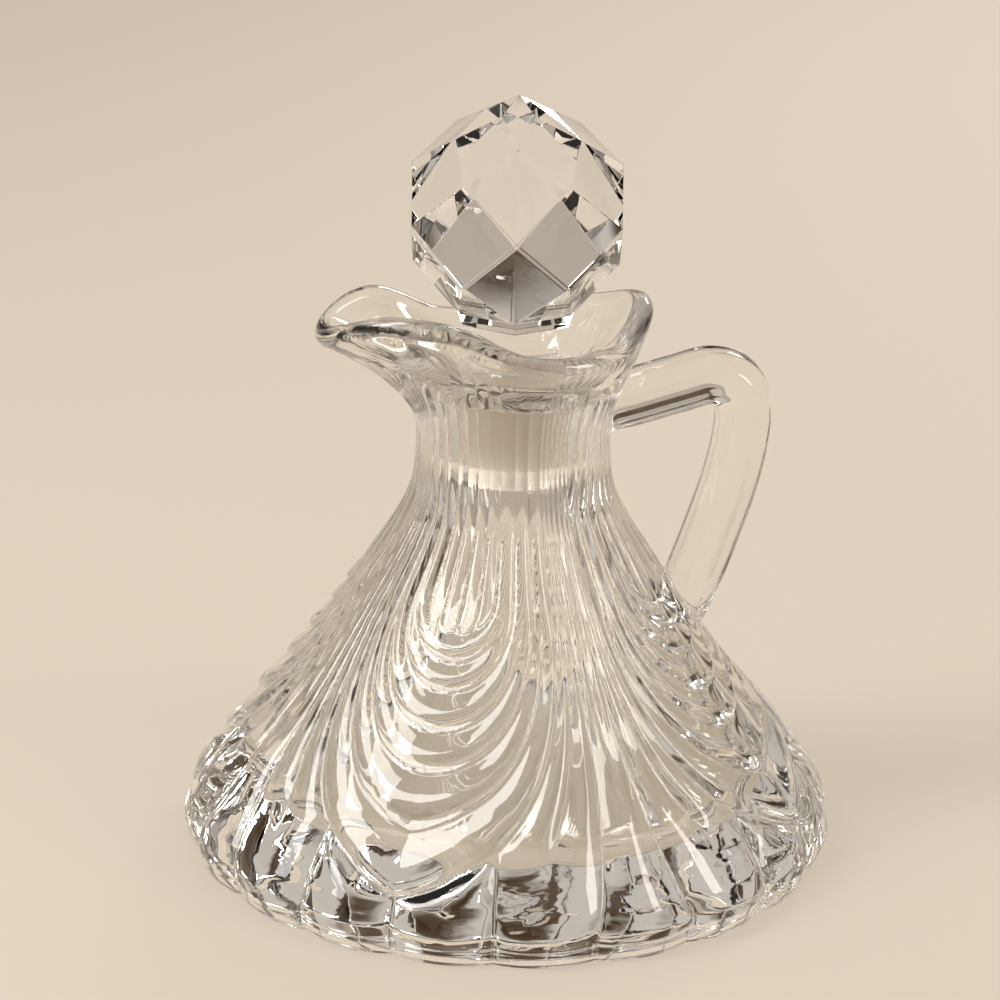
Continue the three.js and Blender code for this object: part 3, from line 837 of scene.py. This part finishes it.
def handle_bar(sizes):
    """Closed bar of the panelled section along the handle's bent line."""
    points, ways = route_points(HANDLE_ROWS)
    section = panel_section(sizes.width / MM, sizes.depth / MM, sizes.edge_round / MM, PANEL_COLUMNS)
    around = len(section)
    verts = []
    for (r, z), (along_r, along_z) in zip(points, ways):
        for inward, across in section:
            verts.append(((r + inward * along_z) * MM, across * MM, (z - inward * along_r) * MM))
    faces = [tuple(range(around)), tuple(reversed(range(len(verts) - around, len(verts))))]
    for row in range(len(points) - 1):
        for k in range(around):
            a, b = row * around, (row + 1) * around
            n = (k + 1) % around
            faces.append((a + k, b + k, b + n, a + n))
    mesh = bpy.data.meshes.new("handle_bar")
    mesh.from_pydata(verts, [], faces)
    make = bmesh.new()
    make.from_mesh(mesh)
    bmesh.ops.triangulate(make, faces=[f for f in make.faces if len(f.verts) > 4])
    bmesh.ops.recalc_face_normals(make, faces=make.faces)
    make.to_mesh(mesh)
    make.free()
    return mesh


def vessel_core(sizes, inset):
    """Closed plain solid that lies inside the vessel's skin by the inset."""
    low, high = 0.5, 110.0
    ones = np.ones(CORE_COLUMNS)
    rings = [((bowl_radius(z) - inset) * ones, z * ones) for z in np.arange(low, NECK_TOP, 1.0)]
    rings.append(((sizes.neck_radius / MM - inset) * ones, high * ones))
    return ring_mesh("vessel_core", rings, low, high, [0] * len(rings))


def soften_weld(thing, skin, bar, reach):
    """Rounds the crease where the handle is fused to the vessel, as flowing glass does."""
    make = bmesh.new()
    make.from_mesh(thing.data)
    seam = []
    for vert in make.verts:
        if all(tree.find_nearest(vert.co, SEAM_REACH * MM)[0] is not None for tree in (skin, bar)):
            seam.append(vert)
    if not seam:
        raise RuntimeError("the handle doesn't meet the vessel")
    weights, front = {vert: 1.0 for vert in seam}, seam
    start = {vert: vert.co.copy() for vert in seam}
    for _ in range(WELD_RINGS):
        following = []
        for vert in front:
            for edge in vert.link_edges:
                other = edge.other_vert(vert)
                far = (other.co - start[vert]).length
                if other not in weights and far < reach:
                    weights[other] = 1.0 - far / reach
                    start[other] = start[vert]
                    following.append(other)
        front = following
    for _ in range(WELD_PASSES):
        moved = {}
        for vert, weight in weights.items():
            near = [edge.other_vert(vert).co for edge in vert.link_edges]
            middle = sum(near, Vector()) / len(near)
            moved[vert] = vert.co.lerp(middle, WELD_PULL * weight)
        for vert, place in moved.items():
            vert.co = place
    make.to_mesh(thing.data)
    make.free()


class CRUET_OT_handle(bpy.types.Operator):
    """Fuse the panelled handle to the neck and shoulder of the vessel"""

    bl_idname = "cruet.handle"
    bl_label = "Handle"
    bl_options = {"REGISTER", "UNDO"}

    def execute(self, context):
        vessel = bpy.data.objects.get("cruet_glass")
        if vessel is None:
            raise RuntimeError("add the vessel before the handle")
        sizes = context.scene.cruet_handle
        graph = context.evaluated_depsgraph_get()
        bar = add_object("handle_bar", handle_bar(sizes))
        core = add_object("vessel_core", vessel_core(context.scene.cruet_vessel, sizes.weld_depth / MM))
        combine(bar, core, "DIFFERENCE")
        graph.update()
        skin = BVHTree.FromObject(vessel, graph)
        bar_tree = BVHTree.FromObject(bar, graph)
        combine(vessel, bar, "UNION")
        soften_weld(vessel, skin, bar_tree, sizes.weld_fillet)
        shade(vessel.data, PRESSED_EDGE)
        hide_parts("handle")
        return {"FINISHED"}


def cut_ball(sizes):
    """Ball cut with rows of flats from a block, with a fine polished line along each edge."""
    make = bmesh.new()
    bmesh.ops.create_cube(make, size=4 * MM * max(reach for _, reach, _ in CUT_ROWS))
    cuts = [(Vector((0.0, 0.0, -1.0)), sizes.ball_height - sizes.collar_bottom - COLLAR_SUNK * MM)]
    for latitude, reach, turned in CUT_ROWS:
        tilt = math.radians(latitude)
        for k in range(CUTS_AROUND):
            turn = math.radians(CUT_TURN + 360.0 / CUTS_AROUND * (k + (0.5 if turned else 0.0)))
            out = Vector((math.cos(tilt) * math.cos(turn), math.cos(tilt) * math.sin(turn), math.sin(tilt)))
            cuts.append((out, reach * MM))
    for out, reach in cuts:
        everything = make.verts[:] + make.edges[:] + make.faces[:]
        cut = bmesh.ops.bisect_plane(
            make, geom=everything, dist=1e-8, plane_co=out * reach, plane_no=out, clear_outer=True
        )
        rim = [e for e in cut["geom_cut"] if isinstance(e, bmesh.types.BMEdge)]
        bmesh.ops.contextual_create(make, geom=rim)
    bmesh.ops.remove_doubles(make, verts=make.verts, dist=CORNER_MEET * MM)
    bmesh.ops.recalc_face_normals(make, faces=make.faces)
    bmesh.ops.bevel(
        make, geom=make.edges[:], offset=sizes.edge_polish / 2, segments=2, profile=0.5, affect="EDGES"
    )
    bmesh.ops.translate(make, verts=make.verts, vec=(0.0, 0.0, sizes.ball_height))
    mesh = bpy.data.meshes.new("cut_stopper")
    make.to_mesh(mesh)
    make.free()
    return mesh


def collar_mesh(sizes):
    """Six-sided collar that widens up into the ball."""
    make = bmesh.new()
    depth = sizes.collar_top - sizes.collar_bottom
    place = Matrix.Translation((0.0, 0.0, (sizes.collar_top + sizes.collar_bottom) / 2))
    bmesh.ops.create_cone(
        make,
        cap_ends=True,
        segments=CUTS_AROUND,
        radius1=sizes.collar_bottom_radius,
        radius2=sizes.collar_top_radius,
        depth=depth,
    )
    first = make.verts[:][0].co
    turn = math.radians(CUT_TURN) - math.atan2(first.y, first.x)
    bmesh.ops.transform(make, matrix=place @ Matrix.Rotation(turn, 4, "Z"), verts=make.verts)
    mesh = bpy.data.meshes.new("collar")
    make.to_mesh(mesh)
    make.free()
    return mesh


def plug_mesh(sizes, vessel_sizes):
    """Tapered plug and shank, turned on the axis. The plug's flank takes the ground finish."""
    top = (vessel_sizes.bore_top + sizes.plug_rise) / MM
    bottom = top - sizes.plug_length / MM
    chamfer, gap = sizes.plug_chamfer / MM, sizes.plug_gap / MM
    shank = sizes.shank_radius / MM

    def flank(z):
        return bore_radius(z, vessel_sizes) - gap

    outline, slots = [(flank(bottom) - chamfer, bottom), (flank(bottom + chamfer), bottom + chamfer)], [1]
    for z in np.linspace(bottom + chamfer, top, PLUG_ROWS + 1)[1:]:
        outline.append((flank(z), z))
        slots.append(1)
    shoulder = flank(top) - shank
    for turn in np.linspace(0.0, math.pi / 2, SHOULDER_ROWS + 1)[1:]:
        rise = SHOULDER_STRETCH * shoulder * math.sin(turn)
        outline.append((shank + shoulder * math.cos(turn), top + rise))
        slots.append(0)
    outline.append((shank, sizes.collar_bottom / MM + COLLAR_SUNK))
    slots.append(0)
    ones = np.ones(PLUG_COLUMNS)
    return ring_mesh("plug", [(r * ones, z * ones) for r, z in outline], bottom, outline[-1][1], slots)


class CRUET_OT_stopper(bpy.types.Operator):
    """Add the stopper: cut ball, six-sided collar, shank and ground plug"""

    bl_idname = "cruet.stopper"
    bl_label = "Stopper"
    bl_options = {"REGISTER", "UNDO"}

    def execute(self, context):
        sizes, finish = context.scene.cruet_stopper, context.scene.cruet_finish
        stopper = add_object("cut_stopper", cut_ball(sizes))
        plug = plug_mesh(sizes, context.scene.cruet_vessel)
        cut = cut_glass("cut_glass", finish.stopper_colour, finish)
        ground = ground_glass("ground_plug", finish.ground_colour, finish)
        for mesh in (stopper.data, plug):
            mesh.materials.append(cut)
            mesh.materials.append(ground)
        combine(stopper, add_object("collar", collar_mesh(sizes)), "UNION")
        combine(stopper, add_object("plug", plug), "UNION")
        shade(stopper.data, CUT_EDGE)
        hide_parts("stopper")
        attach(stopper, "stopper")
        return {"FINISHED"}


def add_softbox(name, place, spread, power, tint):
    """Soft rectangular lamp that looks at the cruet."""
    lamp = bpy.data.lights.new(name, "AREA")
    lamp.shape = "RECTANGLE"
    lamp.size, lamp.size_y = spread
    lamp.energy = power
    lamp.color = tint
    thing = bpy.data.objects.new(name, lamp)
    thing.location = place
    thing.rotation_euler = (Vector(LAMP_AIM) - Vector(place)).to_track_quat("-Z", "Y").to_euler()
    bpy.context.scene.collection.objects.link(thing)


def disc_mesh(radius):
    """Round flat floor."""
    make = bmesh.new()
    bmesh.ops.create_circle(make, cap_ends=True, segments=96, radius=radius)
    mesh = bpy.data.meshes.new("round_floor")
    make.to_mesh(mesh)
    make.free()
    return mesh


def room_light(settings):
    """Soft light of a room: a plain backdrop at eye level, walls with dark warm patches, a pale ceiling."""
    world = bpy.data.worlds.new("plain_room")
    world.use_nodes = True
    tree = world.node_tree
    tree.nodes.clear()
    way = add_node(tree, "ShaderNodeTexCoord").outputs["Generated"]
    height = add_node(tree, "ShaderNodeSeparateXYZ", Vector=way).outputs["Z"]
    patches = add_node(tree, "ShaderNodeTexNoise", Vector=way, Scale=SHADE_SCALE, Detail=1.0)
    paler = add_node(tree, "ShaderNodeMath", {"operation": "MULTIPLY_ADD"})
    tree.links.new(height, paler.inputs[0])
    paler.inputs[1].default_value = SHADE_FADE
    tree.links.new(patches.outputs["Fac"], paler.inputs[2])
    # Each layer: what it goes by, where it changes, and its two tints. None is the light so far.
    layers = (
        (paler.outputs["Value"], SHADE_EDGE, settings.shade_colour, settings.room_colour),
        (height, CEILING_EDGE, None, settings.ceiling_colour),
        (height, BACKDROP_EDGE, settings.backdrop_colour, None),
    )
    light = None
    for level, (low, high), *tints in layers:
        share = add_node(
            tree,
            "ShaderNodeMapRange",
            {"interpolation_type": "SMOOTHSTEP"},
            Value=level,
            From_Min=low,
            From_Max=high,
        )
        mix = add_node(tree, "ShaderNodeMix", {"data_type": "RGBA"}, Factor=share.outputs["Result"])
        for socket, tint in zip([socket for socket in mix.inputs if socket.type == "RGBA"], tints):
            if tint is None:
                tree.links.new(light, socket)
            else:
                socket.default_value = (*tint, 1.0)
        light = next(socket for socket in mix.outputs if socket.type == "RGBA")
    lit = add_node(tree, "ShaderNodeBackground", Color=light, Strength=settings.room_strength)
    add_node(tree, "ShaderNodeOutputWorld", Surface=lit.outputs["Background"])
    return world


class CRUET_OT_stage(bpy.types.Operator):
    """Add the pale floor, the room's light, the soft lamps and the camera"""

    bl_idname = "cruet.stage"
    bl_label = "Stage"
    bl_options = {"REGISTER", "UNDO"}

    def execute(self, context):
        scene, settings = context.scene, context.scene.cruet_stage
        floor = add_object("round_floor", disc_mesh(settings.floor_radius))
        floor.location.z = -FLOOR_DROP * MM
        material, tree = new_material("plain_paper")
        shader = add_node(
            tree,
            "ShaderNodeBsdfPrincipled",
            Base_Color=(*settings.floor_colour, 1.0),
            Roughness=0.9,
            Specular_IOR_Level=0.2,
        )
        add_node(tree, "ShaderNodeOutputMaterial", Surface=shader.outputs["BSDF"])
        floor.data.materials.append(material)

        scene.world = room_light(settings)
        for name, place, spread, power, tint in LAMPS:
            add_softbox(name, place, spread, power * settings.lamp_strength, tint)

        lens = bpy.data.cameras.new("camera")
        lens.sensor_width = 36.0
        lens.lens = settings.lens
        lens.clip_start = CAMERA_NEAR * MM
        camera = bpy.data.objects.new("camera", lens)
        a, e = settings.azimuth, settings.elevation
        back = Vector((math.sin(a) * math.cos(e), -math.cos(a) * math.cos(e), math.sin(e)))
        turn = back.to_track_quat("Z", "Y").to_matrix().to_4x4()
        roll = Matrix.Rotation(settings.roll, 4, "Z")
        camera.matrix_world = Matrix.Translation(Vector(CAMERA_AIM) + back * settings.distance) @ turn @ roll
        scene.collection.objects.link(camera)
        scene.camera = camera
        scene.view_settings.view_transform = "Standard"
        scene.cycles.max_bounces = scene.cycles.transmission_bounces = GLASS_BOUNCES
        scene.cycles.glossy_bounces = GLASS_BOUNCES
        return {"FINISHED"}


class CRUET_PT_panel(bpy.types.Panel):
    """Sizes, finishes and build buttons of the cruet"""

    bl_idname = "CRUET_PT_panel"
    bl_label = "Cruet"
    bl_space_type = "VIEW_3D"
    bl_region_type = "UI"
    bl_category = "Cruet"

    def draw(self, context):
        groups = (
            (context.scene.cruet_vessel, "cruet.vessel"),
            (context.scene.cruet_handle, "cruet.handle"),
            (context.scene.cruet_stopper, "cruet.stopper"),
            (context.scene.cruet_finish, None),
            (context.scene.cruet_stage, "cruet.stage"),
        )
        for group, button in groups:
            box = self.layout.box()
            for name in type(group).__annotations__:
                box.prop(group, name)
            if button:
                box.operator(button)


CLASSES = (
    CruetVesselSizes,
    CruetHandleSizes,
    CruetStopperSizes,
    CruetGlassFinish,
    CruetStageSettings,
    CRUET_OT_vessel,
    CRUET_OT_handle,
    CRUET_OT_stopper,
    CRUET_OT_stage,
    CRUET_PT_panel,
)
GROUPS = {
    "cruet_vessel": CruetVesselSizes,
    "cruet_handle": CruetHandleSizes,
    "cruet_stopper": CruetStopperSizes,
    "cruet_finish": CruetGlassFinish,
    "cruet_stage": CruetStageSettings,
}


def register():
    """Registers the classes and the settings that the scene keeps."""
    for kind in CLASSES:
        bpy.utils.register_class(kind)
    for name, kind in GROUPS.items():
        setattr(bpy.types.Scene, name, PointerProperty(type=kind))


def unregister():
    """Undoes what register did."""
    for name in GROUPS:
        delattr(bpy.types.Scene, name)
    for kind in reversed(CLASSES):
        bpy.utils.unregister_class(kind)


def main():
    """Builds the dressed cruet on its stage."""
    register()
    bpy.ops.cruet.vessel()
    bpy.ops.cruet.handle()
    bpy.ops.cruet.stopper()
    bpy.ops.cruet.stage()


if __name__ == "__main__":
    main()
